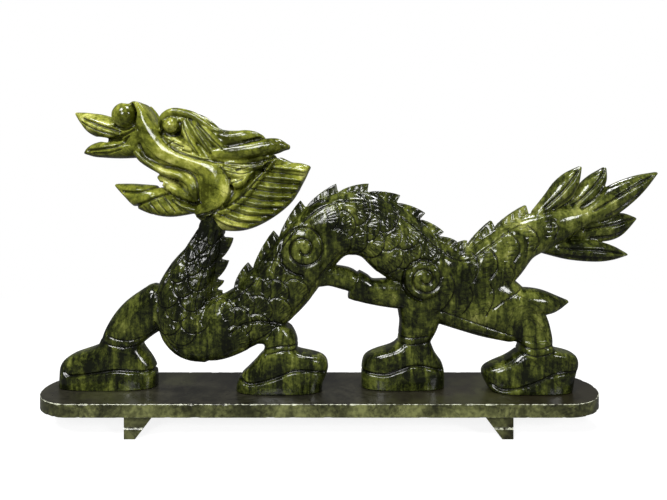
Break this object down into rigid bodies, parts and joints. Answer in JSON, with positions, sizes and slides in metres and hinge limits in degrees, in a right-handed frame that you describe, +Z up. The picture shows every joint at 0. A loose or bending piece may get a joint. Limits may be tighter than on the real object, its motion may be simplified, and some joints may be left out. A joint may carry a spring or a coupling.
{
  "type": "dragon figurine",
  "caption": "Carved green stone dragon in profile with an arched back, saw-tooth crest and flame tail, pinned to an oblong stone plinth on cross feet.",
  "frame": {"origin": "on the ground, at the middle of the figure's box", "axes": "+Z up; the dragon looks along -X, its tail points along +X, and its near side faces -Y"},
  "size_m": [0.4062, 0.0564, 0.2124],
  "materials": {
    "dark_green_stone": "polished",
    "light_green_stone": "polished",
    "mottled_stone": "polished",
    "pin_steel": "brushed"
  },
  "bodies": {
    "root": {"body": "dark_green_stone", "head": "light_green_stone", "plinth": "mottled_stone", "cross_foot_left": "mottled_stone", "cross_foot_right": "mottled_stone", "neck_pin": "pin_steel", "paw_pin_front_far": "pin_steel", "paw_pin_front_near": "pin_steel", "paw_pin_hind_far": "pin_steel", "paw_pin_hind_near": "pin_steel", "cross_foot_left_pin_near": "pin_steel", "cross_foot_left_pin_far": "pin_steel", "cross_foot_right_pin_near": "pin_steel", "cross_foot_right_pin_far": "pin_steel"}
  },
  "joints": []
}
